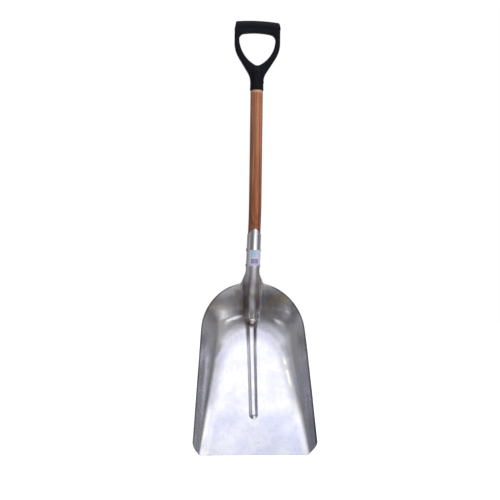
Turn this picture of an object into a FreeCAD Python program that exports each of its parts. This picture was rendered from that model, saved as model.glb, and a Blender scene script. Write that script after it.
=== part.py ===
"""Grain scoop shovel: a pressed aluminium blade with a rolled socket, a bent wooden shaft and a D-grip.

Frame: +Z runs up along the straight upper shaft, -Y is the hollow (loading) side of the blade, +X is across.
The lowest edge, the blade's lip, lies at Z = 0. The straight shaft's line stands at Y = shaft_line.
Lengths are in millimetres and angles in degrees. The driving dimensions are in the sheet "Sizes".
"""
import FreeCAD, Part
import math
import os

import Sketcher

DRIVING_DIMENSIONS = {
    # where the straight shaft's line stands, so that the whole tool is centred on Y = 0
    "shaft_line": 9.4,
    # blade: one aluminium sheet, measured on its hollow side
    "sheet_thickness": 1.8,
    "floor_tilt": 19.5,
    "lip_reach": 63.0,
    "side_lean": 4.25,
    "arch_radius": 144.5,
    "arch_middle": 321.0,
    "corner_height": 38.0,
    "corner_cut": 22.0,
    "flank_width_at_lip": 23.0,
    "flank_width_gain": 0.145,
    "flank_width_at_back": 143.5,
    "flank_rise_at_lip": 30.0,
    "flank_rise_gain": 0.08,
    "flank_rise_at_back": 50.0,
    "flank_knee": 0.75,
    "back_knee": 0.45,
    "bowl_middle": 250.0,
    # hump over the end of the shaft, and the stiffening rib below it
    "hump_height": 17.0,
    "hump_foot_width": 23.5,
    "hump_neck_width": 27.5,
    "hump_end": 353.0,
    "nose_reach": 11.0,
    "rib_height": 9.5,
    "rib_end": 92.0,
    "rib_tip_width": 12.0,
    "rib_root_width": 14.5,
    # socket: the same sheet rolled round the shaft
    "socket_radius": 19.5,
    "socket_lean": 15.0,
    "socket_anchor_height": 543.0,
    "socket_anchor_depth": 31.0,
    "neck_start": 450.0,
    "neck_end": 494.0,
    "socket_top": 616.5,
    "tongue_fall": 19.0,
    "seam_gap": 2.0,
    # shaft
    "shaft_radius": 17.5,
    "bend_radius": 300.0,
    "shaft_foot": 428.0,
    "foot_cut_top": 494.0,
    "foot_cut_top_depth": 62.3,
    "foot_cut_foot_depth": 59.0,
    "shoulder_height": 1001.0,
    "shoulder_chamfer": 1.5,
    "tenon_radius": 15.5,
    "tenon_length": 50.0,
    # rivets across the socket
    "rivet_radius": 2.5,
    "rivet_head_radius": 4.5,
    "rivet_head_height": 1.4,
    "rivet_head_edge": 0.3,
    "upper_rivet_height": 555.0,
    "lower_rivet_height": 512.0,
    "pin_clearance": 0.1,
    # D-grip
    "grip_top": 1199.5,
    "grip_half_width": 64.4,
    "grip_bar_height": 35.5,
    "grip_bar_depth": 30.0,
    "grip_bar_arch": 504.0,
    "grip_taper_drop": 24.0,
    "grip_taper_inset": 4.8,
    "grip_arm_depth": 20.0,
    "grip_arm_rounding": 5.5,
    "grip_arm_lean": 32.0,
    "grip_shoulder_drop": 62.5,
    "grip_shoulder_radius": 85.0,
    "grip_neck_radius": 50.0,
    "grip_neck_waist": 0.7,
    "grip_opening_drop": 127.5,
    "opening_foot_radius": 16.0,
    "opening_side_radius": 87.0,
    "opening_corner_radius": 17.0,
    "grip_socket_radius": 19.2,
    "grip_waist_height": 25.0,
    "grip_bore_clearance": 0.2,
    # screw in the grip
    "screw_height": 1025.5,
    "screw_seat": 18.65,
    "screw_radius": 2.0,
    "screw_head_radius": 3.6,
    "screw_head_height": 1.6,
    "screw_head_edge": 0.4,
    "screw_slot_width": 1.0,
    "screw_slot_depth": 1.0,
    "screw_length": 28.0,
    # label on the socket
    "label_thickness": 0.15,
    "label_glue": 0.02,
    "label_height": 47.0,
    "label_middle": 536.0,
    "label_angle": 117.0,
    "label_turn": 20.0,
}


# ------------------------------------------------------------------ the document and its sheet

def make_sheet(doc):
    sheet = doc.addObject("Spreadsheet::Sheet", "Sizes")
    for row, (alias, value) in enumerate(DRIVING_DIMENSIONS.items(), start=1):
        sheet.set(f"A{row}", alias)
        sheet.set(f"B{row}", str(value))
        sheet.setAlias(f"B{row}", alias)
    doc.recompute()
    return sheet


class Sizes:
    """The sheet's values, read by name."""

    def __init__(self, sheet):
        for alias in DRIVING_DIMENSIONS:
            setattr(self, alias, float(sheet.get(alias)))


def bind(thing, **expressions):
    """Bind properties to the sheet. A double underscore in a property's name stands for a dot."""
    for name, expression in expressions.items():
        thing.setExpression(name.replace("__", "."), expression)


LIP_LIFT = "Sizes.sheet_thickness * sin(Sizes.floor_tilt * 1 deg) * 1 mm"


def place(thing, y="0 mm", z="0 mm"):
    """Bind a Placement. Y counts from the shaft's line, and Z from the hollow side's lip, which is
    lifted so that the underside's lip is the lowest edge."""
    bind(thing, Placement__Base__y=f"Sizes.shaft_line * 1 mm + {y}", Placement__Base__z=f"{LIP_LIFT} + {z}")


# ------------------------------------------------------------------ the shape of the blade's sheet

def smooth_step(value, start, end):
    """0 before start, 1 after end and an S-curve between them."""
    share = min(max((value - start) / (end - start), 0.0), 1.0)
    return share * share * (3 - 2 * share)


def mix(first, second, share):
    return first * (1 - share) + second * share


def spread(*stretches):
    """Breakpoints made of stretches (start, end, how many steps)."""
    points = [stretches[0][0]]
    for start, end, steps in stretches:
        points += [start + (end - start) * step / steps for step in range(1, steps + 1)]
    return points


class BladeSheet:
    """The hollow side of the sheet as a surface point(row, column).

    A row is a height: below neck_start the pressed pan, above neck_end the rolled socket, between them
    the neck.
    A column runs from 0 in the middle to 3 at the sheet's edge, and is negative on the -X side.
    """

    EDGE = 3.0
    # half the width of the zone that holds the ridge, and how far its edge is turned round the socket
    RIDGE_ZONE = 34.0
    SOCKET_TURN = 110.0
    # where the flat floor's outer edge lies between the ridge zone and the rim, at the lip and at the arch
    FOLD_SHARES = (0.76, 0.32)
    # powers of the curves in the blade's shape
    CORNER_POWER = 1.6
    RIDGE_SQUARENESS = 2.8
    RIDGE_POWER = 1.5
    FAN_POWER = 1.5
    TONGUE_POWER = 1.7
    # the height up to which the floor is a true plane
    FLAT_END = 206.0
    # heights counted from neck_start: the hump's crest runs up to the socket's front between the first
    # two, the pan is pure below the third, and the neck's ears keep the width of the fourth
    CREST_RISE = (-45.0, -10.0)
    PAN_END = -20.0
    EARS = 11.0

    def __init__(self, s):
        self.s = s
        self.floor_slope = math.tan(math.radians(s.floor_tilt))
        self.axis_slope = math.tan(math.radians(s.socket_lean))
        self.lean = math.radians(s.side_lean)
        self.side_height = s.arch_middle + s.arch_radius * math.sin(self.lean)
        side_width = s.arch_radius * math.cos(self.lean)
        self.side_at_lip = side_width + self.side_height * math.tan(self.lean)
        self.last_row = s.socket_top - s.socket_radius * math.sin(math.radians(s.socket_lean))

    def half_width(self, height):
        """The outline seen from the front: leaning sides with cut lower corners, under a round arch."""
        s = self.s
        if height < self.side_height:
            side = self.side_at_lip - height * math.tan(self.lean)
            below = max(1 - max(height, 0.0) / s.corner_height, 0.0)
            return side - s.corner_cut * below ** self.CORNER_POWER
        up = min(height, s.neck_start + self.EARS) - s.arch_middle
        return math.sqrt(s.arch_radius ** 2 - up ** 2)

    def rim_radius(self, sine):
        """How far the rim lies from the middle of the bowl, along a ray with this sine of its rise."""
        s = self.s
        cosine = math.sqrt(1 - sine ** 2)
        side_at_middle = self.side_at_lip - s.bowl_middle * math.tan(self.lean)
        to_side = side_at_middle / (cosine + sine * math.tan(self.lean))
        if s.bowl_middle + to_side * sine < self.side_height:
            return to_side
        above = s.arch_middle - s.bowl_middle
        return above * sine + math.sqrt(s.arch_radius ** 2 - (above * cosine) ** 2)

    def flank_rise(self, x, height):
        """How far the sheet stands forward of the flat floor: a round knee, then a straight flank.

        Beside the floor the flank is measured straight across. Behind it, above bowl_middle, it is measured
        along rays that fan out from the middle line, so the two flanks and the back wall join smoothly.
        """
        s = self.s
        up = height - s.bowl_middle
        if up <= 0:
            sine = 0.0
            inside = self.side_at_lip - height * math.tan(self.lean) - abs(x)
        else:
            away = math.hypot(x, up)
            sine = up / away
            inside = self.rim_radius(sine) - away
        back = sine ** self.FAN_POWER
        low = min(height, s.bowl_middle)
        width = mix(s.flank_width_at_lip + s.flank_width_gain * low, s.flank_width_at_back, back)
        rise = mix(s.flank_rise_at_lip + s.flank_rise_gain * low, s.flank_rise_at_back, back)
        knee = mix(s.flank_knee, s.back_knee, back)
        share = max(1 - inside / width, 0.0)
        bent = share ** 2 / (2 * knee) if share < knee else share - knee / 2
        return rise * bent / (1 - knee / 2)

    def wall_depth(self, x, height):
        """Y of the pan without its hump and rib."""
        return -self.s.lip_reach + height * self.floor_slope - self.flank_rise(x, height)

    def axis_depth(self, height):
        """Y of the socket's axis."""
        return self.s.socket_anchor_depth + (self.s.socket_anchor_height - height) * self.axis_slope

    def ridge_height(self, height):
        """How far the crest stands forward of the wall: the socket, the hump, its nose and the rib."""
        s = self.s
        crest = self.axis_depth(height) - s.socket_radius / math.cos(math.radians(s.socket_lean))
        over_socket = self.wall_depth(0.0, height) - crest
        rise_start, rise_end = (s.neck_start + rise for rise in self.CREST_RISE)
        hump = mix(s.hump_height, over_socket, smooth_step(height, rise_start, rise_end))
        on_hump = smooth_step(height, s.hump_end - s.nose_reach, s.hump_end + s.nose_reach)
        return mix(s.rib_height, hump, on_hump)

    def ridge_half_width(self, height):
        s = self.s
        rib = mix(s.rib_tip_width, s.rib_root_width, (height - s.rib_end) / (s.hump_end - s.rib_end))
        hump = mix(s.hump_foot_width, s.hump_neck_width,
                   (height - s.hump_end) / (s.neck_start - s.hump_end))
        on_hump = smooth_step(height, s.hump_end - 2 * s.nose_reach, s.hump_end + s.nose_reach)
        return mix(rib, hump, on_hump)

    def ridge(self, x, height):
        """The hump and the rib as one ridge with a round lower end."""
        s = self.s
        half_width = self.ridge_half_width(height)
        past_end = min(height - s.rib_end - s.rib_tip_width, 0.0)
        share = math.hypot(x, past_end) / half_width
        if share >= 1:
            return 0.0
        return self.ridge_height(height) * (1 - share ** self.RIDGE_SQUARENESS) ** self.RIDGE_POWER

    def pan_point(self, height, column):
        across = abs(column)
        half_width = self.half_width(height)
        fold_share = mix(*self.FOLD_SHARES, min(max(height, 0.0) / self.side_height, 1.0))
        fold = mix(self.RIDGE_ZONE, half_width, fold_share)
        if across <= 1:
            x = self.RIDGE_ZONE * across
        elif across <= 2:
            x = mix(self.RIDGE_ZONE, fold, across - 1)
        else:
            x = mix(fold, half_width, across - 2)
        depth = self.wall_depth(x, height) - self.ridge(x, height)
        return FreeCAD.Vector(math.copysign(x, column), depth, height)

    def socket_point(self, station, column):
        """A point of the rolled socket, on a circle round the axis at the given height."""
        s = self.s
        across = abs(column)
        seam_angle = math.pi - s.seam_gap / 2 / s.socket_radius
        first_turn = math.radians(self.SOCKET_TURN)
        if across <= 1:
            angle = first_turn * across
        else:
            angle = mix(first_turn, seam_angle, (across - 1) / (self.EDGE - 1))
        lean = math.radians(s.socket_lean)
        forward = s.socket_radius * math.cos(angle)
        return FreeCAD.Vector(
            math.copysign(s.socket_radius * math.sin(angle), column),
            self.axis_depth(station) - forward * math.cos(lean),
            station - forward * math.sin(lean),
        )

    def tongue_edge(self, column):
        """Height on the axis of the socket's top edge: a rounded tongue in front, falling to the seam."""
        s = self.s
        angle = math.radians(self.SOCKET_TURN) * min(abs(column), 1.0)
        return s.socket_top - s.tongue_fall * math.sin(min(angle, math.pi / 2)) ** self.TONGUE_POWER

    def clear_of_shaft(self, place):
        """The same place, moved straight out to the socket's radius where it would cut into the shaft."""
        s = self.s
        lean = math.radians(s.socket_lean)
        along = FreeCAD.Vector(0, math.sin(lean), -math.cos(lean))
        from_anchor = place - FreeCAD.Vector(0, s.socket_anchor_depth, s.socket_anchor_height)
        outward = from_anchor - along * (from_anchor * along)
        short = s.socket_radius - outward.Length
        if short <= 0:
            return place
        return place + outward.normalize() * short

    def point(self, row, column):
        s = self.s
        crest_drop = s.socket_radius * math.sin(math.radians(s.socket_lean))
        if row <= s.neck_start + self.PAN_END:
            return self.pan_point(row, column)
        if row < s.neck_end:
            rolled = smooth_step(row, s.neck_start, s.neck_end)
            pressed = self.pan_point(row, column)
            return self.clear_of_shaft(mix(pressed, self.socket_point(row + crest_drop, column), rolled))
        share = (row - s.neck_end) / (self.last_row - s.neck_end)
        station = mix(s.neck_end + crest_drop, self.tongue_edge(column), share)
        return self.socket_point(station, column)

    def back_point(self, row, column):
        """The point behind point(row, column), one sheet thickness along the surface's normal."""
        row_step = 0.25
        column_step = 0.01
        along = self.point(row + row_step, column) - self.point(row - row_step, column)
        across = self.point(row, column + column_step) - self.point(row, column - column_step)
        normal = along.cross(across)
        normal.normalize()
        return self.point(row, column) + normal * self.s.sheet_thickness


def knot_averages(breaks, degree):
    """The places on a clamped spline's parameter line that its poles stand for."""
    knots = [breaks[0]] * degree + list(breaks) + [breaks[-1]] * degree
    return [sum(knots[i + 1:i + 1 + degree]) / degree for i in range(len(knots) - degree - 1)]


def spline_surface(point, row_breaks, column_breaks, degree=3):
    """A smooth surface whose poles are the points of point(row, column)."""
    rows = knot_averages(row_breaks, degree)
    columns = knot_averages(column_breaks, degree)
    poles = [[point(row, column) for column in columns] for row in rows]
    row_mults = [degree + 1] + [1] * (len(row_breaks) - 2) + [degree + 1]
    column_mults = [degree + 1] + [1] * (len(column_breaks) - 2) + [degree + 1]
    surface = Part.BSplineSurface()
    surface.buildFromPolesMultsKnots(poles, row_mults, column_mults, row_breaks, column_breaks,
                                     False, False, degree, degree)
    return surface


def ruled_face(near, far):
    """The face between two splines that share their knots."""
    surface = Part.BSplineSurface()
    surface.buildFromPolesMultsKnots([near.getPoles(), far.getPoles()], [2, 2], near.getMultiplicities(),
                                     [0.0, 1.0], near.getKnots(), False, False, 1, near.Degree)
    return surface.toShape()


def patch(surface, row_span, column_span):
    piece = surface.copy()
    piece.segment(*row_span, *column_span)
    return piece


def skin_face(surface):
    """The surface as a face, on a true plane where all its poles are coplanar."""
    face = surface.toShape()
    corner, along, across = surface.getPole(1, 1), surface.getPole(2, 1), surface.getPole(1, 2)
    normal = (along - corner).cross(across - corner).normalize()
    poles = [pole for row in surface.getPoles() for pole in row]
    if max(abs((pole - corner) * normal) for pole in poles) > 1e-6:
        return face
    return Part.Face(Part.Wire(Part.sortEdges(face.Edges)[0]))


def sheet_solid(front, back, row_cuts, column_cuts):
    """The solid between two surfaces that share their parameters, with its skins divided at the cuts."""
    faces = []
    for row_span in zip(row_cuts, row_cuts[1:]):
        for column_span in zip(column_cuts, column_cuts[1:]):
            near = patch(front, row_span, column_span)
            far = patch(back, row_span, column_span)
            faces += [skin_face(near), skin_face(far)]
            for row in {row_cuts[0], row_cuts[-1]} & set(row_span):
                faces.append(ruled_face(near.uIso(row), far.uIso(row)))
            for column in {column_cuts[0], column_cuts[-1]} & set(column_span):
                faces.append(ruled_face(near.vIso(column), far.vIso(column)))
    shell = Part.makeShell(faces)
    shell.sewShape()
    solid = Part.makeSolid(shell)
    if not solid.fix(1e-6, 1e-6, 1e-3) or solid.Volume < 0:
        raise RuntimeError("the blade's sheet isn't a closed solid")
    return solid


def pressed_sheet(s):
    sheet = BladeSheet(s)
    rows = spread(
        (0.0, s.corner_height, 7),
        (s.corner_height, s.rib_end - 10, 4),
        (s.rib_end - 10, s.rib_end + 18, 6),
        (s.rib_end + 18, sheet.FLAT_END, 5),
        (sheet.FLAT_END, s.arch_middle, 7),
        (s.arch_middle, s.hump_end + 15, 10),
        (s.hump_end + 15, s.neck_start, 9),
        (s.neck_start, s.neck_end, 8),
        (s.neck_end, sheet.last_row, 7),
    )
    half = spread((0.0, 1.0, 13), (1.0, 2.0, 4), (2.0, sheet.EDGE, 11))
    columns = [-column for column in reversed(half[1:])] + half
    front = spline_surface(sheet.point, rows, columns)
    back = spline_surface(sheet.back_point, rows, columns)
    row_cuts = [rows[0], sheet.FLAT_END, rows[-1]]
    column_cuts = [-sheet.EDGE, -2.0, -1.0, 1.0, 2.0, sheet.EDGE]
    return sheet_solid(front, back, row_cuts, column_cuts)


# ------------------------------------------------------------------ helpers for bodies and sketches

def origin_plane(body, role):
    return next(feature for feature in body.Origin.OriginFeatures if feature.Role == role)


def make_sketch(body, name, role, **offsets):
    """A sketch on one of the body's origin planes; offsets bind its AttachmentOffset to the sheet."""
    sketch = body.newObject("Sketcher::SketchObject", name)
    sketch.AttachmentSupport = [(origin_plane(body, role), "")]
    sketch.MapMode = "FlatFace"
    bind(sketch, **offsets)
    return sketch


def point_on(x, y):
    return FreeCAD.Vector(x, y, 0)


def bind_radius(sketch, index, expression):
    number = sketch.addConstraint(Sketcher.Constraint("Radius", index, sketch.Geometry[index].Radius))
    sketch.setExpression(f"Constraints[{number}]", expression)


def bind_distance(sketch, kind, index, end, value, expression):
    """Bind the X or Y distance of a piece's end from the sketch's origin."""
    number = sketch.addConstraint(Sketcher.Constraint(kind, -1, 1, index, end, value))
    sketch.setExpression(f"Constraints[{number}]", expression)


def add_circle(sketch, radius, expression):
    index = sketch.addGeometry(Part.Circle(FreeCAD.Vector(), FreeCAD.Vector(0, 0, 1), radius), False)
    sketch.addConstraint(Sketcher.Constraint("Coincident", index, 3, -1, 1))
    bind_radius(sketch, index, expression)


def curve_through(points):
    """A line through two points, or an arc through three, always drawn anticlockwise."""
    points = [point_on(*point) for point in points]
    if len(points) == 2:
        return Part.LineSegment(*points)
    start, middle, end = points
    if (middle - start).cross(end - middle).z < 0:
        start, end = end, start
    return Part.Arc(start, middle, end)


def add_loop(sketch, pieces, closed=True):
    """Add pieces end to end, each two points of a line or three of an arc, and tie the ends that meet."""
    ends = {1: "StartPoint", 2: "EndPoint"}
    indices = [sketch.addGeometry(curve_through(piece), False) for piece in pieces]
    neighbours = list(zip(indices, indices[1:] + indices[:1]))
    for first, second in neighbours if closed else neighbours[:-1]:
        gaps = {
            (near, far): (getattr(sketch.Geometry[first], ends[near])
                          - getattr(sketch.Geometry[second], ends[far])).Length
            for near in ends for far in ends
        }
        near, far = min(gaps, key=gaps.get)
        sketch.addConstraint(Sketcher.Constraint("Coincident", first, near, second, far))
    return indices


def dome(crown, rim, radius):
    """Half the outline of a domed head about the X axis: an arc round a point on the axis, crown to rim."""
    rise = crown - rim
    curve = (rise ** 2 + radius ** 2) / (2 * rise)
    half_turn = math.asin(radius / abs(curve)) / 2
    middle = (crown - curve * (1 - math.cos(half_turn)), abs(curve) * math.sin(half_turn))
    return (crown, 0.0), middle, (rim, radius)


def add_polygon(sketch, corners):
    return add_loop(sketch, list(zip(corners, corners[1:] + corners[:1])))


def make_feature(body, kind, name, profile, **settings):
    feature = body.newObject(f"PartDesign::{kind}", name)
    feature.Profile = profile
    for key, value in settings.items():
        setattr(feature, key, value)
    return feature


# ------------------------------------------------------------------ the pieces

def make_blade(doc, s):
    """The pressed sheet, cut for the rivets."""
    sheet = doc.addObject("Part::Feature", "pressed_sheet")
    sheet.Shape = pressed_sheet(s)

    holes = [rivet_hole(doc, name) for name in ("upper", "lower")]
    tools = doc.addObject("Part::MultiFuse", "rivet_holes")
    tools.Shapes = holes
    blade = doc.addObject("Part::Cut", "scoop_blade")
    blade.Base = sheet
    blade.Tool = tools
    place(blade)
    return blade


def on_socket_axis(height):
    """The expression for the depth of the socket's axis at a height, both in the sheet's values."""
    return (f"(Sizes.socket_anchor_depth + (Sizes.socket_anchor_height - {height})"
            " * tan(Sizes.socket_lean * 1 deg)) * 1 mm")


def rivet_hole(doc, name):
    hole = doc.addObject("Part::Cylinder", f"{name}_rivet_hole")
    hole.Placement.Rotation = FreeCAD.Rotation(FreeCAD.Vector(0, 1, 0), 90)
    height = f"Sizes.{name}_rivet_height"
    bind(hole, Radius="(Sizes.rivet_radius + Sizes.pin_clearance) * 1 mm",
         Height="4 * Sizes.socket_radius * 1 mm",
         Placement__Base__x="-2 * Sizes.socket_radius * 1 mm",
         Placement__Base__y=on_socket_axis(height),
         Placement__Base__z=f"{height} * 1 mm")
    return hole


def shaft_spine(s):
    """The shaft's middle line in the YZ plane: straight down, an arc, then down the socket's axis."""
    lean = math.radians(s.socket_lean)
    crossing = s.socket_anchor_height + s.socket_anchor_depth / math.tan(lean)
    tangent = s.bend_radius * math.tan(lean / 2)
    bend_top = (0.0, crossing + tangent)
    bend_foot = (tangent * math.sin(lean), crossing - tangent * math.cos(lean))
    bend_middle = (s.bend_radius * (1 - math.cos(lean / 2)), bend_top[1] - s.bend_radius * math.sin(lean / 2))
    foot = (s.socket_anchor_depth + (s.socket_anchor_height - s.shaft_foot) * math.tan(lean), s.shaft_foot)
    return [((0.0, s.shoulder_height), bend_top), (bend_top, bend_middle, bend_foot), (bend_foot, foot)]


def cut_foot(body, s, foot_depth):
    """Cut the back of the shaft's foot off aslant, so that it lies within the blade's neck."""
    behind = 2 * foot_depth
    below = s.shaft_foot - s.shaft_radius
    scarf = make_sketch(body, "foot_scarf", "YZ_Plane")
    add_polygon(scarf, [(s.foot_cut_foot_depth, below), (behind, below), (behind, s.foot_cut_top),
                        (s.foot_cut_top_depth, s.foot_cut_top)])
    make_feature(body, "Pocket", "foot_cut", scarf, Type="ThroughAll", SideType="Symmetric")


def drill_shaft(body, s):
    """The rivets' bores and the screw's pilot hole."""
    for name in ("upper", "lower"):
        height = f"Sizes.{name}_rivet_height"
        mouth = make_sketch(body, f"{name}_rivet_section", "YZ_Plane",
                            AttachmentOffset__Base__x=on_socket_axis(height),
                            AttachmentOffset__Base__y=f"{height} * 1 mm")
        add_circle(mouth, s.rivet_radius, "(Sizes.rivet_radius + Sizes.pin_clearance) * 1 mm")
        make_feature(body, "Pocket", f"{name}_rivet_bore", mouth, Type="ThroughAll", SideType="Symmetric")

    pilot_end = "(Sizes.screw_seat - Sizes.screw_length - 1) * 1 mm"
    mouth = make_sketch(body, "screw_section", "YZ_Plane",
                        AttachmentOffset__Base__y="Sizes.screw_height * 1 mm",
                        AttachmentOffset__Base__z=pilot_end)
    add_circle(mouth, s.screw_radius, "(Sizes.screw_radius + Sizes.pin_clearance) * 1 mm")
    make_feature(body, "Pocket", "screw_pilot", mouth, Type="ThroughAll", Reversed=True)


def make_shaft(doc, s):
    """A round bar along a line, a bend and a second line, with a tenon on top and cross holes."""
    body = doc.addObject("PartDesign::Body", "shaft")
    section = make_sketch(body, "shaft_section", "XY_Plane",
                          AttachmentOffset__Base__z="Sizes.shoulder_height * 1 mm")
    add_circle(section, s.shaft_radius, "Sizes.shaft_radius * 1 mm")
    spine = make_sketch(body, "shaft_spine", "YZ_Plane")
    line = shaft_spine(s)
    add_loop(spine, line, closed=False)
    bar = make_feature(body, "AdditivePipe", "bar", section, Spine=(spine, ["Edge1", "Edge2", "Edge3"]))
    doc.recompute()

    shoulder = next(f"Edge{number}" for number, edge in enumerate(bar.Shape.Edges, start=1)
                    if abs(edge.BoundBox.ZMin - s.shoulder_height) < 0.01)
    chamfer = body.newObject("PartDesign::Chamfer", "shoulder_chamfer")
    chamfer.Base = (bar, [shoulder])
    bind(chamfer, Size="Sizes.shoulder_chamfer * 1 mm")

    tenon_section = make_sketch(body, "tenon_section", "XY_Plane",
                                AttachmentOffset__Base__z="Sizes.shoulder_height * 1 mm")
    add_circle(tenon_section, s.tenon_radius, "Sizes.tenon_radius * 1 mm")
    tenon = make_feature(body, "Pad", "tenon", tenon_section)
    bind(tenon, Length="Sizes.tenon_length * 1 mm")

    cut_foot(body, s, line[-1][-1][0])
    drill_shaft(body, s)
    place(body)
    return body


def make_rivet(doc, s, name):
    """A rivet across the socket: a shank and two low domed heads, turned round the X axis."""
    body = doc.addObject("PartDesign::Body", f"{name}_socket_rivet")
    profile = make_sketch(body, f"{name}_rivet_profile", "XZ_Plane")
    seat = s.socket_radius
    crown = seat + s.rivet_head_height
    head = s.rivet_head_radius
    shank = s.rivet_radius
    rim = seat + s.rivet_head_edge
    pieces = add_loop(profile, [
        ((-crown, 0.0), (crown, 0.0)),
        dome(crown, rim, head),
        ((rim, head), (seat, head)),
        ((seat, head), (seat, shank)),
        ((seat, shank), (-seat, shank)),
        ((-seat, shank), (-seat, head)),
        ((-seat, head), (-rim, head)),
        dome(-crown, -rim, head),
    ])
    bind_distance(profile, "DistanceY", pieces[3], 2, shank, "Sizes.rivet_radius * 1 mm")
    turned = make_feature(body, "Revolution", f"{name}_rivet_turned", profile,
                          ReferenceAxis=(profile, ["H_Axis"]))
    turned.Angle = 360
    height = f"Sizes.{name}_rivet_height"
    place(body, y=on_socket_axis(height), z=f"{height} * 1 mm")
    return body


def grip_outline(s):
    """The yoke's outer outline on the +X side, from inside the bar down to the socket, all tangent."""
    width = s.grip_half_width
    neck = s.grip_socket_radius - s.grip_neck_waist
    lean = math.radians(s.grip_arm_lean)
    bar_middle = s.grip_top - s.grip_bar_height / 2
    shoulder = (width, s.grip_top - s.grip_shoulder_drop)

    def on_shoulder(angle):
        return (width - s.grip_shoulder_radius * (1 - math.cos(angle)),
                shoulder[1] - s.grip_shoulder_radius * math.sin(angle))

    def on_neck(angle):
        return (neck + s.grip_neck_radius * (1 - math.cos(angle)),
                neck_end[1] + s.grip_neck_radius * math.sin(angle))

    slope_start = on_shoulder(lean)
    slope_run = slope_start[0] - neck - s.grip_neck_radius * (1 - math.cos(lean))
    slope_foot = slope_start[1] - slope_run / math.tan(lean)
    neck_end = (neck, slope_foot - s.grip_neck_radius * math.sin(lean))
    return [
        ((0.0, bar_middle), (width, bar_middle)),
        ((width, bar_middle), shoulder),
        (shoulder, on_shoulder(lean / 2), slope_start),
        (slope_start, on_neck(lean)),
        (on_neck(lean), on_neck(lean / 2), neck_end),
    ]


def hand_opening(s):
    """The opening's outline on the +X side, from its lowest point up: a chain of four tangent arcs.

    Each arc starts at one turn and ends at the next, counted in degrees from the lowest point's heading.
    The last arc is the flat one under the bar; its radius follows, because it must end on the middle line.
    """
    turns = [0.0, 30.0, 86.0, 170.0]
    radii = [s.opening_foot_radius, s.opening_side_radius, s.opening_corner_radius]
    x, height = 0.0, s.grip_top - s.grip_opening_drop
    pieces = []
    for start, end, radius in zip(turns, turns[1:], radii):
        centre_x = x - radius * math.sin(math.radians(start))
        centre_height = height + radius * math.cos(math.radians(start))
        middle, last = (
            (centre_x + radius * math.sin(math.radians(turn)),
             centre_height - radius * math.cos(math.radians(turn)))
            for turn in ((start + end) / 2, end)
        )
        pieces.append(((x, height), middle, last))
        x, height = last
    rest = math.radians(180.0 - turns[-1])
    top_radius = x / math.sin(rest)
    centre_height = height - top_radius * math.cos(rest)
    middle = (top_radius * math.sin(rest / 2), centre_height + top_radius * math.cos(rest / 2))
    pieces.append(((x, height), middle, (0.0, centre_height + top_radius)))
    return pieces


def mirrored(pieces):
    """The same outline on the -X side, walked back the other way."""
    return [tuple((-x, y) for x, y in reversed(piece)) for piece in reversed(pieces)]


def add_yoke(doc, body, s):
    """The flat yoke round the opening, with rounded rims."""
    outline = make_sketch(body, "grip_outline", "XZ_Plane")
    right = grip_outline(s)
    neck_x, neck_y = right[-1][-1]
    base = ((neck_x, neck_y), (-neck_x, neck_y))
    add_loop(outline, right + [base] + mirrored(right))
    opening = hand_opening(s)
    add_loop(outline, opening + mirrored(opening))
    frame = make_feature(body, "Pad", "grip_frame", outline, SideType="Symmetric")
    bind(frame, Length="Sizes.grip_arm_depth * 1 mm")
    doc.recompute()

    rims = [
        f"Edge{number}" for number, edge in enumerate(frame.Shape.Edges, start=1)
        if abs(edge.BoundBox.YLength) < 0.01 and edge.BoundBox.ZLength > 1
    ]
    rounding = body.newObject("PartDesign::Fillet", "grip_rounding")
    rounding.Base = (frame, rims)
    bind(rounding, Radius="Sizes.grip_arm_rounding * 1 mm")


def add_crossbar(body, s):
    """The bar the hand holds: an oval turned along a long arc, with its top corners cut off aslant."""
    bar_middle = s.grip_top - s.grip_bar_height / 2
    section = make_sketch(body, "bar_section", "YZ_Plane")
    top, front = point_on(0.0, s.grip_top), point_on(s.grip_bar_depth / 2, bar_middle)
    section.addGeometry(Part.Ellipse(top, front, point_on(0.0, bar_middle)), False)
    arch_centre = bar_middle - s.grip_bar_arch
    axis = Part.LineSegment(point_on(-1.0, arch_centre), point_on(1.0, arch_centre))
    section.addGeometry(axis, True)
    bar = make_feature(body, "Revolution", "grip_bar", section, ReferenceAxis=(section, ["Axis0"]))
    bar.Midplane = True
    bind(bar, Angle="2 * asin(Sizes.grip_half_width / Sizes.grip_bar_arch)")

    tapers = make_sketch(body, "bar_end_tapers", "XZ_Plane")
    beyond = s.grip_half_width + s.grip_bar_height
    above = s.grip_top + 2.0
    low = s.grip_top - s.grip_taper_drop
    corner = s.grip_half_width - s.grip_taper_inset
    for side in (-1, 1):
        add_polygon(tapers, [(side * s.grip_half_width, low), (side * beyond, low),
                             (side * beyond, above), (side * corner, above)])
    make_feature(body, "Pocket", "bar_end_cuts", tapers, Type="ThroughAll", SideType="Symmetric")


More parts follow.
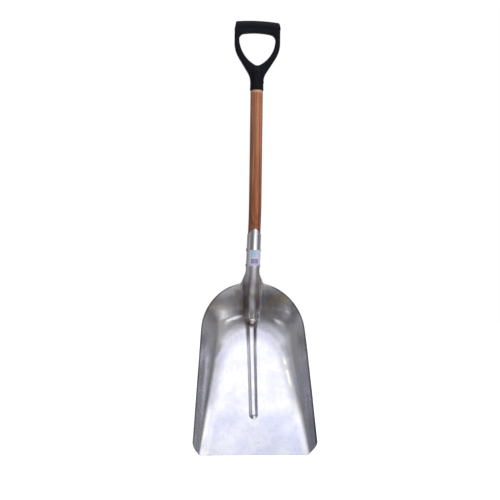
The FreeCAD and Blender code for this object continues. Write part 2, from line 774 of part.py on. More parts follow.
def add_grip_socket(doc, body, s):
    """The round socket below the opening, with a domed top, its bore and the screw's hole."""
    profile = make_sketch(body, "grip_socket_profile", "XZ_Plane")
    wall_above_tenon = 3.0
    foot = s.shoulder_height
    waist = (s.grip_socket_radius - s.grip_neck_waist, foot + s.grip_waist_height)
    top_start = (waist[0], foot + s.tenon_length + wall_above_tenon)
    crown = (0.0, s.grip_top - s.grip_opening_drop - wall_above_tenon)
    on_dome = (0.72 * waist[0], mix(top_start[1], crown[1], 0.65))
    add_loop(profile, [
        ((0.0, foot), (s.grip_socket_radius, foot)),
        ((s.grip_socket_radius, foot), waist),
        (waist, top_start),
        (top_start, on_dome, crown),
        (crown, (0.0, foot)),
    ])
    socket = make_feature(body, "Revolution", "grip_socket", profile, ReferenceAxis=(profile, ["V_Axis"]))
    socket.Angle = 360
    doc.recompute()

    bore_section = make_sketch(body, "grip_bore_section", "XY_Plane",
                               AttachmentOffset__Base__z="Sizes.shoulder_height * 1 mm")
    add_circle(bore_section, s.tenon_radius, "(Sizes.tenon_radius + Sizes.grip_bore_clearance) * 1 mm")
    bore = make_feature(body, "Pocket", "grip_bore", bore_section, Reversed=True)
    bind(bore, Length="(Sizes.tenon_length + 1) * 1 mm")

    screw_mouth = make_sketch(body, "grip_screw_section", "YZ_Plane",
                              AttachmentOffset__Base__y="Sizes.screw_height * 1 mm")
    add_circle(screw_mouth, s.screw_radius, "(Sizes.screw_radius + Sizes.pin_clearance) * 1 mm")
    make_feature(body, "Pocket", "grip_screw_hole", screw_mouth, Type="ThroughAll", Reversed=True)


def make_grip(doc, s):
    """The moulded grip: yoke, crossbar and socket, all one piece."""
    body = doc.addObject("PartDesign::Body", "d_grip")
    add_yoke(doc, body, s)
    add_crossbar(body, s)
    add_grip_socket(doc, body, s)
    place(body)
    return body


def make_screw(doc, s):
    """A pan-head wood screw, turned round the X axis, with a straight slot."""
    body = doc.addObject("PartDesign::Body", "grip_screw")
    profile = make_sketch(body, "screw_profile", "XZ_Plane")
    seat = s.screw_seat
    crown = seat + s.screw_head_height
    head = s.screw_head_radius
    rim = seat + s.screw_head_edge
    shank = s.screw_radius
    tip = seat - s.screw_length
    pieces = add_loop(profile, [
        ((tip, 0.0), (crown, 0.0)),
        dome(crown, rim, head),
        ((rim, head), (seat, head)),
        ((seat, head), (seat, shank)),
        ((seat, shank), (tip + 2 * shank, shank)),
        ((tip + 2 * shank, shank), (tip, 0.0)),
    ])
    bind_distance(profile, "DistanceY", pieces[3], 2, shank, "Sizes.screw_radius * 1 mm")
    turned = make_feature(body, "Revolution", "screw_turned", profile, ReferenceAxis=(profile, ["H_Axis"]))
    turned.Angle = 360
    doc.recompute()

    slot = make_sketch(body, "screw_slot_section", "XZ_Plane")
    slot_half = s.screw_slot_width / 2
    slot_floor = crown - s.screw_slot_depth
    add_polygon(slot, [(slot_floor, -slot_half), (crown + 1, -slot_half), (crown + 1, slot_half),
                       (slot_floor, slot_half)])
    make_feature(body, "Pocket", "screw_slot", slot, Type="ThroughAll", SideType="Symmetric")
    place(body, z="Sizes.screw_height * 1 mm")
    return body


def make_label(doc, s):
    """A thin sticker wrapped on the socket, turned round the socket's axis."""
    body = doc.addObject("PartDesign::Body", "product_label")
    profile = make_sketch(body, "label_profile", "YZ_Plane")
    inner = s.socket_radius + s.label_glue
    outer = inner + s.label_thickness
    half = s.label_height / 2
    pieces = add_polygon(profile, [(-outer, -half), (-inner, -half), (-inner, half), (-outer, half)])
    bind_distance(profile, "DistanceY", pieces[1], 2, half, "Sizes.label_height / 2 * 1 mm")
    wrapped = make_feature(body, "Revolution", "label_wrapped", profile, ReferenceAxis=(profile, ["V_Axis"]))
    wrapped.Midplane = True
    bind(wrapped, Angle="Sizes.label_angle * 1 deg")
    turn = FreeCAD.Rotation(FreeCAD.Vector(0, 0, 1), s.label_turn)
    lean = FreeCAD.Rotation(FreeCAD.Vector(1, 0, 0), s.socket_lean)
    body.Placement = FreeCAD.Placement(FreeCAD.Vector(), lean * turn)
    place(body, y=on_socket_axis("Sizes.label_middle"), z="Sizes.label_middle * 1 mm")
    return body


# ------------------------------------------------------------------ building and writing

def check(doc, pieces):
    for thing in doc.Objects:
        if {"Invalid", "Error"} & set(thing.State):
            raise RuntimeError(f"{thing.Label} failed: {thing.State}")
    for piece in pieces:
        if piece.Shape.isNull() or not piece.Shape.isValid() or len(piece.Shape.Solids) != 1:
            raise RuntimeError(f"{piece.Label} isn't one valid solid")


def main():
    doc = FreeCAD.newDocument("grain_scoop_shovel")
    s = Sizes(make_sheet(doc))
    pieces = [
        make_blade(doc, s),
        make_shaft(doc, s),
        make_rivet(doc, s, "upper"),
        make_rivet(doc, s, "lower"),
        make_grip(doc, s),
        make_screw(doc, s),
        make_label(doc, s),
    ]
    doc.recompute()
    check(doc, pieces)
    os.makedirs("parts", exist_ok=True)
    for piece in pieces:
        piece.Shape.exportStep(f"parts/{piece.Label}.step")
        box = piece.Shape.BoundBox
        print(f"{piece.Label}: {piece.Shape.Volume / 1000:.1f} cm3, "
              f"X {box.XMin:.1f}..{box.XMax:.1f}, Y {box.YMin:.1f}..{box.YMax:.1f}, "
              f"Z {box.ZMin:.1f}..{box.ZMax:.1f}")


if __name__ == "__main__":
    main()
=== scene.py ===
"""Looks of the grain scoop shovel: a pressed aluminium blade, a lacquered wooden shaft and a black D-grip.

Frame: +Z runs up along the straight shaft, -Y is the hollow side of the blade, +X is across. Metres.
Shapes that are rebuilt here follow the CAD part's own dimensions, which are listed below in millimetres.
"""
import math

import bmesh
import bpy
import numpy as np
from mathutils import Matrix, Vector


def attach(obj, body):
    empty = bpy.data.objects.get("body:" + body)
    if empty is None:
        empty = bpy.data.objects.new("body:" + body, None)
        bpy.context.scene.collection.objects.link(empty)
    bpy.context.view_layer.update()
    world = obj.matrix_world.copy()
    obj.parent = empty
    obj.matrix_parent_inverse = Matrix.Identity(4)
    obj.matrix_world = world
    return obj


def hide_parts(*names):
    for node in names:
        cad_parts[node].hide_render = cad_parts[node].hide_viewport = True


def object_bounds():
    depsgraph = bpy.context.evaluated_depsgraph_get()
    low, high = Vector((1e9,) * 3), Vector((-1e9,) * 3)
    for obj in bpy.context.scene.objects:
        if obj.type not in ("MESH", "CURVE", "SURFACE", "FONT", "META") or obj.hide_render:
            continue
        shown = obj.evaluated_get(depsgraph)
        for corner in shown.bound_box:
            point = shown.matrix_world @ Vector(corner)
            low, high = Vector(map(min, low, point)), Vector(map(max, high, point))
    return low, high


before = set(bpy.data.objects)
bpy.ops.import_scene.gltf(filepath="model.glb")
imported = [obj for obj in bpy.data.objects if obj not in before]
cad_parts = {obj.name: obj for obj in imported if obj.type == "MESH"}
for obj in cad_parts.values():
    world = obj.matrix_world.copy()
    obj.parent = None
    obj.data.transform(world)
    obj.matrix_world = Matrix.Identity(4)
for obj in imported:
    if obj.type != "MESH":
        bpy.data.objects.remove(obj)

CAD_BOX = [list(corner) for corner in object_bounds()]
MM = 0.001

# ------------------------------------------------------------------ dimensions shared with the CAD part (mm)

SHEET = 1.8
FLOOR_TILT = math.radians(19.5)
LIP_REACH = 63.0
SIDE_LEAN = math.radians(4.25)
ARCH_RADIUS = 144.5
ARCH_MIDDLE = 321.0
CORNER_HEIGHT = 38.0
CORNER_CUT = 22.0
CORNER_POWER = 1.6
FLANK_WIDTH_AT_LIP = 23.0
FLANK_WIDTH_GAIN = 0.145
FLANK_WIDTH_AT_BACK = 143.5
FLANK_RISE_AT_LIP = 30.0
FLANK_RISE_GAIN = 0.08
FLANK_RISE_AT_BACK = 50.0
FLANK_KNEE = 0.75
BACK_KNEE = 0.45
BOWL_MIDDLE = 250.0
FAN_POWER = 1.5
RIDGE_ZONE = 34.0
# where a flank's fold lies between the ridge's zone and the side: its share at the lip and at SIDE_HEIGHT
FOLD_SHARES = (0.76, 0.32)
RIDGE_SQUARENESS = 2.8
RIDGE_POWER = 1.5
HUMP_HEIGHT = 17.0
HUMP_FOOT_WIDTH = 23.5
HUMP_NECK_WIDTH = 27.5
HUMP_END = 353.0
NOSE_REACH = 11.0
RIB_HEIGHT = 9.5
RIB_END = 92.0
RIB_TIP_WIDTH = 12.0
RIB_ROOT_WIDTH = 14.5
SOCKET_RADIUS = 19.5
SOCKET_LEAN = math.radians(15.0)
SOCKET_TURN = math.radians(110.0)
ANCHOR_HEIGHT = 543.0
ANCHOR_DEPTH = 31.0
NECK_START = 450.0
NECK_END = 494.0
# the hump's crest swings over to the socket's between these heights, counted from NECK_START
CREST_RISE = (-45.0, -10.0)
PAN_END = NECK_START - 20.0
SOCKET_TOP = 616.5
TONGUE_FALL = 19.0
TONGUE_POWER = 1.7
SEAM_GAP = 2.0
EARS = 11.0
EDGE = 3.0
SHAFT_LINE = 9.4
LIP_LIFT = SHEET * math.sin(FLOOR_TILT)
SHAFT_RADIUS = 17.5
BEND_RADIUS = 300.0
END_CAP_RADIUS = 0.02
SHAFT_FOOT = 428.0
# the aslant cut behind the shaft's foot: (depth, height) of two of its places
FOOT_CUT = ((59.0, 410.5), (62.3, 494.0))
SHOULDER_HEIGHT = 1001.0
TENON_RADIUS = 15.5
TENON_LENGTH = 50.0
GRIP_VOXEL = 0.9
LABEL_HEIGHT = 47.0
LABEL_MIDDLE = 536.0
LABEL_ANGLE = math.radians(117.0)
LABEL_TURN = math.radians(20.0)
LABEL_FILM = 0.15
LABEL_GLUE = 0.03
WAVE_HEIGHT = 0.16

SIDE_HEIGHT = ARCH_MIDDLE + ARCH_RADIUS * math.sin(SIDE_LEAN)
SIDE_AT_LIP = ARCH_RADIUS * math.cos(SIDE_LEAN) + SIDE_HEIGHT * math.tan(SIDE_LEAN)
CREST_DROP = SOCKET_RADIUS * math.sin(SOCKET_LEAN)
LAST_ROW = SOCKET_TOP - CREST_DROP


# ------------------------------------------------------------------ mesh helpers

def smooth_step(value, start, end):
    """0 before start, 1 after end and an S-curve between them."""
    share = np.clip((value - start) / (end - start), 0.0, 1.0)
    return share * share * (3 - 2 * share)


def mix(first, second, share):
    return first * (1 - share) + second * share


def spread(*stretches):
    """Stations made of stretches (start, end, how many steps)."""
    stations = [stretches[0][0]]
    for start, end, steps in stretches:
        stations += [start + (end - start) * step / steps for step in range(1, steps + 1)]
    return np.array(stations)


def in_frame(points):
    """Points counted from the shaft's line and the hollow side's lip, in mm, as metres of the frame."""
    return (np.asarray(points) + np.array([0.0, SHAFT_LINE, LIP_LIFT])) * MM


def add_piece(name, vertices, faces, material):
    """A smooth-shaded mesh object whose normals point outward."""
    mesh = bpy.data.meshes.new(name)
    mesh.from_pydata([tuple(vertex) for vertex in vertices], [], faces)
    shape = bmesh.new()
    shape.from_mesh(mesh)
    bmesh.ops.recalc_face_normals(shape, faces=shape.faces)
    shape.to_mesh(mesh)
    shape.free()
    mesh.shade_smooth()
    mesh.materials.append(material)
    piece = bpy.data.objects.new(name, mesh)
    bpy.context.scene.collection.objects.link(piece)
    return piece


def ring_faces(loop_count, loop_size):
    """Quads between loops of points that follow one another."""
    faces = []
    for loop in range(loop_count - 1):
        here, beyond = loop * loop_size, (loop + 1) * loop_size
        for i in range(loop_size):
            j = (i + 1) % loop_size
            faces.append((here + i, here + j, beyond + j, beyond + i))
    return faces


def thick_sheet(front, back, edge_round):
    """Vertices and faces of a closed sheet between two grids of points, with rounded edges."""
    rows, columns = front.shape[:2]
    count = rows * columns
    index = np.arange(count).reshape(rows, columns)
    faces = []
    for offset in (0, count):
        a, b, c, d = (block.ravel() + offset for block in
                      (index[:-1, :-1], index[:-1, 1:], index[1:, 1:], index[1:, :-1]))
        faces += list(zip(a.tolist(), b.tolist(), c.tolist(), d.tolist()))
    border = [(0, c) for c in range(columns)]
    border += [(r, columns - 1) for r in range(1, rows)]
    border += [(rows - 1, c) for c in range(columns - 2, -1, -1)]
    border += [(r, 0) for r in range(rows - 2, 0, -1)]
    loops = [[index[r, c] for r, c in border]]
    rim_points = []
    for turn in (0.25, 0.5, 0.75):
        loop = []
        for r, c in border:
            near, far = front[r, c], back[r, c]
            inner_r = min(max(r, 1), rows - 2)
            inner_c = min(max(c, 1), columns - 2)
            outward = near - front[inner_r, inner_c]
            outward = outward / np.linalg.norm(outward)
            loop.append(count * 2 + len(rim_points))
            rim_points.append((near + far) / 2 + (near - far) / 2 * math.cos(math.pi * turn)
                              + outward * edge_round * math.sin(math.pi * turn))
        loops.append(loop)
    loops.append([index[r, c] + count for r, c in border])
    for near, far in zip(loops, loops[1:]):
        for i in range(len(border)):
            j = (i + 1) % len(border)
            faces.append((int(near[i]), int(near[j]), int(far[j]), int(far[i])))
    vertices = np.concatenate([front.reshape(-1, 3), back.reshape(-1, 3), np.array(rim_points)])
    return vertices, faces


# ------------------------------------------------------------------ the blade's sheet

def half_width(height):
    """The outline seen from the front: leaning sides with cut lower corners, under a round arch."""
    below = np.maximum(1 - np.maximum(height, 0.0) / CORNER_HEIGHT, 0.0)
    side = SIDE_AT_LIP - height * math.tan(SIDE_LEAN) - CORNER_CUT * below ** CORNER_POWER
    arch = np.sqrt(ARCH_RADIUS ** 2 - (np.minimum(height, NECK_START + EARS) - ARCH_MIDDLE) ** 2)
    return np.where(height < SIDE_HEIGHT, side, arch)


def rim_distance(x, height):
    """How far inside the rim a place lies, and how squarely it faces the back (0 beside the floor, 1 behind).

    Beside the floor this is measured straight across. Behind it, above BOWL_MIDDLE, it is measured along
    rays that fan out from the middle line, so the two flanks and the back wall join smoothly.
    """
    inside_beside = SIDE_AT_LIP - height * math.tan(SIDE_LEAN) - np.abs(x)
    up = np.maximum(height - BOWL_MIDDLE, 0.0)
    away = np.hypot(x, up)
    sine = up / np.maximum(away, 1e-6)
    cosine = np.sqrt(1 - sine ** 2)
    side_at_middle = SIDE_AT_LIP - BOWL_MIDDLE * math.tan(SIDE_LEAN)
    to_side = side_at_middle / (cosine + sine * math.tan(SIDE_LEAN))
    above = ARCH_MIDDLE - BOWL_MIDDLE
    to_arch = above * sine + np.sqrt(ARCH_RADIUS ** 2 - (above * cosine) ** 2)
    to_rim = np.where(BOWL_MIDDLE + to_side * sine < SIDE_HEIGHT, to_side, to_arch)
    return np.where(up > 0, to_rim - away, inside_beside), sine ** FAN_POWER


def flank_width(height, back):
    beside = FLANK_WIDTH_AT_LIP + FLANK_WIDTH_GAIN * np.minimum(height, BOWL_MIDDLE)
    return mix(beside, FLANK_WIDTH_AT_BACK, back)


def flank_rise(x, height):
    """How far the sheet stands forward of the flat floor: a round knee, then a straight flank."""
    inside, back = rim_distance(x, height)
    width = flank_width(height, back)
    rise_beside = FLANK_RISE_AT_LIP + FLANK_RISE_GAIN * np.minimum(height, BOWL_MIDDLE)
    rise = mix(rise_beside, FLANK_RISE_AT_BACK, back)
    knee = mix(FLANK_KNEE, BACK_KNEE, back)
    share = np.maximum(1 - inside / width, 0.0)
    bent = np.where(share < knee, share ** 2 / (2 * knee), share - knee / 2)
    return rise * bent / (1 - knee / 2)


def wall_depth(x, height):
    return -LIP_REACH + height * math.tan(FLOOR_TILT) - flank_rise(x, height)


def axis_depth(height):
    return ANCHOR_DEPTH + (ANCHOR_HEIGHT - height) * math.tan(SOCKET_LEAN)


def ridge(x, height):
    """The hump over the shaft's end and the rib below it, as one ridge with a round lower end."""
    crest = axis_depth(height) - SOCKET_RADIUS / math.cos(SOCKET_LEAN)
    over_socket = wall_depth(np.zeros_like(height), height) - crest
    rise_start, rise_end = (NECK_START + offset for offset in CREST_RISE)
    hump = mix(HUMP_HEIGHT, over_socket, smooth_step(height, rise_start, rise_end))
    on_hump = smooth_step(height, HUMP_END - NOSE_REACH, HUMP_END + NOSE_REACH)
    tall = mix(RIB_HEIGHT, hump, on_hump)
    rib_width = mix(RIB_TIP_WIDTH, RIB_ROOT_WIDTH, (height - RIB_END) / (HUMP_END - RIB_END))
    hump_width = mix(HUMP_FOOT_WIDTH, HUMP_NECK_WIDTH, (height - HUMP_END) / (NECK_START - HUMP_END))
    on_hump = smooth_step(height, HUMP_END - 2 * NOSE_REACH, HUMP_END + NOSE_REACH)
    wide = mix(rib_width, hump_width, on_hump)
    past_end = np.minimum(height - RIB_END - RIB_TIP_WIDTH, 0.0)
    share = np.minimum(np.hypot(x, past_end) / wide, 1.0)
    return tall * (1 - share ** RIDGE_SQUARENESS) ** RIDGE_POWER


def pan_points(height, column):
    """Points of the pressed pan. Column is 0 in the middle, 1 beside the ridge, 2 at a fold, 3 at the rim."""
    across = np.abs(column)
    side = half_width(height)
    fold_share = mix(*FOLD_SHARES, np.clip(height / SIDE_HEIGHT, 0.0, 1.0))
    fold = mix(RIDGE_ZONE, side, fold_share)
    outer = np.where(across <= 2, mix(RIDGE_ZONE, fold, across - 1), mix(fold, side, across - 2))
    x = np.where(across <= 1, RIDGE_ZONE * across, outer)
    depth = wall_depth(x, height) - ridge(x, height)
    return np.stack([np.copysign(x, column), depth, height], -1)


def socket_points(station, column):
    """Points of the rolled socket, on circles round the axis."""
    across = np.abs(column)
    seam_angle = math.pi - SEAM_GAP / 2 / SOCKET_RADIUS
    angle = np.where(across <= 1, SOCKET_TURN * across,
                     mix(SOCKET_TURN, seam_angle, (across - 1) / (EDGE - 1)))
    forward = SOCKET_RADIUS * np.cos(angle)
    return np.stack([np.copysign(SOCKET_RADIUS * np.sin(angle), column),
                     axis_depth(station) - forward * math.cos(SOCKET_LEAN),
                     station - forward * math.sin(SOCKET_LEAN)], -1)


def tongue_edge(column):
    """Height on the axis of the socket's top edge: a rounded tongue in front, falling to the seam."""
    angle = SOCKET_TURN * np.minimum(np.abs(column), 1.0)
    return SOCKET_TOP - TONGUE_FALL * np.sin(np.minimum(angle, math.pi / 2)) ** TONGUE_POWER


def clear_of_shaft(places):
    """The same places, moved out to the socket's radius where they would cut into the shaft."""
    along = np.array([0.0, math.sin(SOCKET_LEAN), -math.cos(SOCKET_LEAN)])
    from_anchor = places - np.array([0.0, ANCHOR_DEPTH, ANCHOR_HEIGHT])
    outward = from_anchor - along * (from_anchor @ along)[..., None]
    length = np.linalg.norm(outward, axis=-1, keepdims=True)
    short = np.maximum(SOCKET_RADIUS - length, 0.0)
    return places + outward / np.maximum(length, 1e-6) * short


def sheet_points(row, column):
    """The hollow side of the sheet: the pressed pan, the neck and the rolled socket."""
    pressed = pan_points(row, column)
    rolled = smooth_step(row, NECK_START, NECK_END)[..., None]
    neck = clear_of_shaft(mix(pressed, socket_points(row + CREST_DROP, column), rolled))
    share = (row - NECK_END) / (LAST_ROW - NECK_END)
    station = mix(NECK_END + CREST_DROP, tongue_edge(column), np.clip(share, 0.0, 1.0))
    tube = socket_points(station, column)
    row = row[..., None]
    return np.where(row <= PAN_END, pressed, np.where(row < NECK_END, neck, tube))


def waviness(points):
    """Faint unevenness of a hand-fed pressing, in mm along the sheet's normal, fading out at the neck."""
    x, height = points[..., 0], points[..., 2]
    dimples = np.sin(x / 23 + 0.6) * np.sin(height / 31 + 1.9)
    steep_waves = np.sin(x / 13 - height / 61 + 2.1)
    level_waves = np.sin(height / 17 + x / 41)
    waves = dimples + 0.5 * steep_waves + 0.4 * level_waves
    return WAVE_HEIGHT * waves * (1 - smooth_step(height, NECK_START - 80, NECK_START - 30))


def make_blade(material):
    """The blade's sheet, with finer rows where it bends more and a narrow strip along each cut edge."""
    strip, edge_strip = 0.3, 0.005
    rib_foot, rib_rise, bowl_start, bowl_end = 82.0, 114.0, 300.0, 385.0
    rows = spread((0.0, strip, 1), (strip, CORNER_HEIGHT, 22), (CORNER_HEIGHT, rib_foot, 18),
                  (rib_foot, rib_rise, 26), (rib_rise, bowl_start, 76), (bowl_start, bowl_end, 60),
                  (bowl_end, NECK_START, 36), (NECK_START, NECK_END, 34),
                  (NECK_END, LAST_ROW - strip, 40), (LAST_ROW - strip, LAST_ROW, 1))
    half = spread((0.0, 1.0, 42), (1.0, 2.0, 14), (2.0, EDGE - edge_strip, 44), (EDGE - edge_strip, EDGE, 1))
    columns = np.concatenate([-half[:0:-1], half])
    row, column = np.meshgrid(rows, columns, indexing="ij")
    row_step, column_step = 0.25, 0.01
    along = sheet_points(row + row_step, column) - sheet_points(row - row_step, column)
    across = sheet_points(row, column + column_step) - sheet_points(row, column - column_step)
    normal = np.cross(along, across)
    normal /= np.linalg.norm(normal, axis=-1, keepdims=True)
    front = sheet_points(row, column)
    front = front + normal * waviness(front)[..., None]
    back = front + normal * SHEET
    vertices, faces = thick_sheet(front, back, SHEET / 3)
    piece = add_piece("blade_sheet", in_frame(vertices), faces, material)
    inside, back_share = rim_distance(front[..., 0], front[..., 2])
    fold = inside - flank_width(front[..., 2], back_share)
    nearest_edge = np.where(column[..., None] < 0, front[:, :1], front[:, -1:])
    inside = np.where(row > NECK_START, np.linalg.norm(front - nearest_edge, axis=-1), inside)
    note_distances(piece, "rim_distance", inside, inside)
    note_distances(piece, "fold_distance", fold, np.full_like(fold, -ARCH_RADIUS))
    return piece


def note_distances(piece, name, front, back):
    """Keep a distance (mm) of each point of a thick sheet as a mesh attribute in metres, 0 on its rims."""
    values = np.zeros(len(piece.data.vertices), dtype=np.float32)
    values[:2 * front.size] = np.concatenate([front.ravel(), back.ravel()]) * MM
    piece.data.attributes.new(name, "FLOAT", "POINT").data.foreach_set("value", values)


# ------------------------------------------------------------------ the shaft

def shaft_stations():
    """Centres, lengthwise directions and radii along the shaft, from the tenon's end down to the foot."""
    crossing = ANCHOR_HEIGHT + ANCHOR_DEPTH / math.tan(SOCKET_LEAN)
    tangent = BEND_RADIUS * math.tan(SOCKET_LEAN / 2)
    bend_top = crossing + tangent
    tenon_end = SHOULDER_HEIGHT + TENON_LENGTH
    turned_down = ((tenon_end, END_CAP_RADIUS), (tenon_end, TENON_RADIUS - 1.5),
                   (tenon_end - 1.5, TENON_RADIUS), (SHOULDER_HEIGHT + 0.5, TENON_RADIUS),
                   (SHOULDER_HEIGHT, TENON_RADIUS + 0.4), (SHOULDER_HEIGHT, SHAFT_RADIUS - 1.4),
                   (SHOULDER_HEIGHT - 0.5, SHAFT_RADIUS - 0.6), (SHOULDER_HEIGHT - 1.5, SHAFT_RADIUS))
    down = [((0.0, height), 0.0, radius) for height, radius in turned_down]
    for height in np.linspace(SHOULDER_HEIGHT - 4, bend_top + 2, 110):
        down.append(((0.0, height), 0.0, SHAFT_RADIUS))
    for turn in np.linspace(0.0, SOCKET_LEAN, 24):
        depth = BEND_RADIUS * (1 - math.cos(turn))
        down.append(((depth, bend_top - BEND_RADIUS * math.sin(turn)), turn, SHAFT_RADIUS))
    bend_foot = bend_top - BEND_RADIUS * math.sin(SOCKET_LEAN)
    for height in np.linspace(bend_foot - 2, SHAFT_FOOT + 2, 60):
        down.append(((axis_depth(height), height), SOCKET_LEAN, SHAFT_RADIUS))
    foot = ((SHAFT_FOOT + 0.6, SHAFT_RADIUS - 0.4), (SHAFT_FOOT, SHAFT_RADIUS - 1.6),
            (SHAFT_FOOT, END_CAP_RADIUS))
    down += [((axis_depth(height), height), SOCKET_LEAN, radius) for height, radius in foot]
    return down


def room_behind(depth, height, lean):
    """How far the shaft may stand out behind its line before it meets the cut behind its foot."""
    (low_depth, low_height), (high_depth, high_height) = FOOT_CUT
    slope = (high_depth - low_depth) / (high_height - low_height)
    cut_depth = low_depth + (height - low_height) * slope
    return (cut_depth - depth) / (math.cos(lean) - slope * math.sin(lean))


def make_shaft(material):
    """A round bar through the stations, cut flat where it would stand out behind the cut of its foot."""
    around = 96
    vertices = []
    stations = shaft_stations()
    for (depth, height), lean, radius in stations:
        most = room_behind(depth, height, lean)
        for i in range(around):
            angle = 2 * math.pi * i / around
            out = max(radius * math.cos(angle), -most)
            vertices.append((radius * math.sin(angle),
                             depth - out * math.cos(lean),
                             height - out * math.sin(lean)))
    last = len(stations) - 1
    faces = ring_faces(len(stations), around)
    faces += [tuple(range(around)), tuple(last * around + i for i in reversed(range(around)))]
    return add_piece("shaft_wood", in_frame(vertices), faces, material)


# ------------------------------------------------------------------ the grip, from the CAD solid's own shape

def applied(piece):
    """The piece with its modifiers applied."""
    graph = bpy.context.evaluated_depsgraph_get()
    mesh = bpy.data.meshes.new_from_object(piece.evaluated_get(graph))
    piece.modifiers.clear()
    piece.data = mesh
    return piece


def make_grip(material):
    """The moulding with the blended inner corners and softened edges that a mould gives it."""
    piece = bpy.data.objects.new("grip_moulding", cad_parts["d_grip"].data.copy())
    bpy.context.scene.collection.objects.link(piece)
    remesh = piece.modifiers.new("remesh", "REMESH")
    remesh.mode = "VOXEL"
    remesh.voxel_size = GRIP_VOXEL * MM
    smooth = piece.modifiers.new("smooth", "SMOOTH")
    smooth.factor = 0.5
    smooth.iterations = 12
    applied(piece)
    piece.data.shade_smooth()
    piece.data.materials.clear()
    piece.data.materials.append(material)
    return piece


# ------------------------------------------------------------------ the label

def make_label(material):
    """Printed film wrapped on the socket's front, with its right edge standing a little off."""
    rows, columns = 40, 60
    down, across = np.meshgrid(np.linspace(-1, 1, rows), np.linspace(-1, 1, columns), indexing="ij")
    corner, corner_inset, edge_lift, wrinkle_height = 0.08, 0.05, 0.9, 0.05
    over = np.maximum(np.abs(down) - (1 - corner), 0.0) / corner
    across = across * (1 - corner_inset * (1 - np.sqrt(np.maximum(1 - over ** 2, 0.0))))
    angle = LABEL_TURN + across * LABEL_ANGLE / 2
    lift = edge_lift * smooth_step(across, 0.86, 1.0) * (0.6 + 0.4 * np.cos(3 * down))
    wrinkle = wrinkle_height * np.sin(9 * across + 4 * down) * smooth_step(across, 0.3, 0.9)

    def film_points(radius):
        length = LABEL_HEIGHT / 2 * down
        out = radius * np.cos(angle)
        station = LABEL_MIDDLE + length * math.cos(SOCKET_LEAN)
        depth = axis_depth(LABEL_MIDDLE) - length * math.sin(SOCKET_LEAN)
        return np.stack([radius * np.sin(angle), depth - out * math.cos(SOCKET_LEAN),
                         station - out * math.sin(SOCKET_LEAN)], -1)

    inner = SOCKET_RADIUS + LABEL_GLUE + lift + np.abs(wrinkle)
    outer = inner + LABEL_FILM
    vertices, faces = thick_sheet(film_points(outer), film_points(inner), LABEL_FILM / 4)
    return add_piece("socket_label", in_frame(vertices), faces, material)


# ------------------------------------------------------------------ wiring node trees

class Graph:
    """A short way to add and join shader nodes."""

    def __init__(self, tree):
        self.tree = tree
        tree.nodes.clear()

    def node(self, kind, inputs=None, **settings):
        made = self.tree.nodes.new(f"ShaderNode{kind}")
        for name, value in settings.items():
            setattr(made, name, value)
        for name, value in (inputs or {}).items():
            if isinstance(value, bpy.types.NodeSocket):
                self.tree.links.new(value, made.inputs[name])
            else:
                made.inputs[name].default_value = value
        return made

    def math(self, operation, *values):
        return self.node("Math", dict(enumerate(values)), operation=operation).outputs[0]

    def all_of(self, first, *others):
        """The product of several shares."""
        for other in others:
            first = self.math("MULTIPLY", first, other)
        return first

    def step(self, value, start, end, low=0.0, high=1.0):
        """low before start, high after end, and an S-curve between them."""
        made = self.node("MapRange", {"Value": value, "From Min": start, "From Max": end,
                                      "To Min": low, "To Max": high}, interpolation_type="SMOOTHSTEP")
        return made.outputs["Result"]

    def band(self, value, start, full, fade, end):
        """0 up to start, 1 from full to fade, and 0 again from end on."""
        return self.all_of(self.step(value, start, full), self.step(value, end, fade))

    def noise(self, place, scale, detail=3.0, roughness=0.5, distortion=0.0):
        made = self.node("TexNoise", {"Vector": place, "Scale": scale, "Detail": detail,
                                      "Roughness": roughness, "Distortion": distortion})
        return made.outputs["Fac"]

    def distance(self, place, point):
        return self.node("VectorMath", {0: place, 1: point}, operation="DISTANCE").outputs["Value"]

    def stretched(self, place, x, y, z, turn=(0.0, 0.0, 0.0)):
        return self.node("Mapping", {"Vector": place, "Scale": (x, y, z), "Rotation": turn}).outputs["Vector"]

    def blend(self, share, first, second, kind="MIX"):
        made = self.node("MixRGB", {"Fac": share, "Color1": first, "Color2": second}, blend_type=kind)
        return made.outputs["Color"]

    def bump(self, height, distance, strength=1.0, under=None):
        inputs = {"Height": height, "Distance": distance, "Strength": strength}
        if under is not None:
            inputs["Normal"] = under
        return self.node("Bump", inputs).outputs["Normal"]


def colour(red, green, blue):
    return (red, green, blue, 1.0)


def new_material(name):
    material = bpy.data.materials.new(name)
    material.use_nodes = True
    graph = Graph(material.node_tree)
    place = graph.node("TexCoord").outputs["Object"]
    return material, graph, place


def finish_material(graph, **inputs):
    """Join a principled shader to the output. An input's name has _ for each space in it."""
    shader = graph.node("BsdfPrincipled", {name.replace("_", " "): value for name, value in inputs.items()})
    output = graph.node("OutputMaterial")
    graph.tree.links.new(shader.outputs[0], output.inputs["Surface"])


# ------------------------------------------------------------------ materials

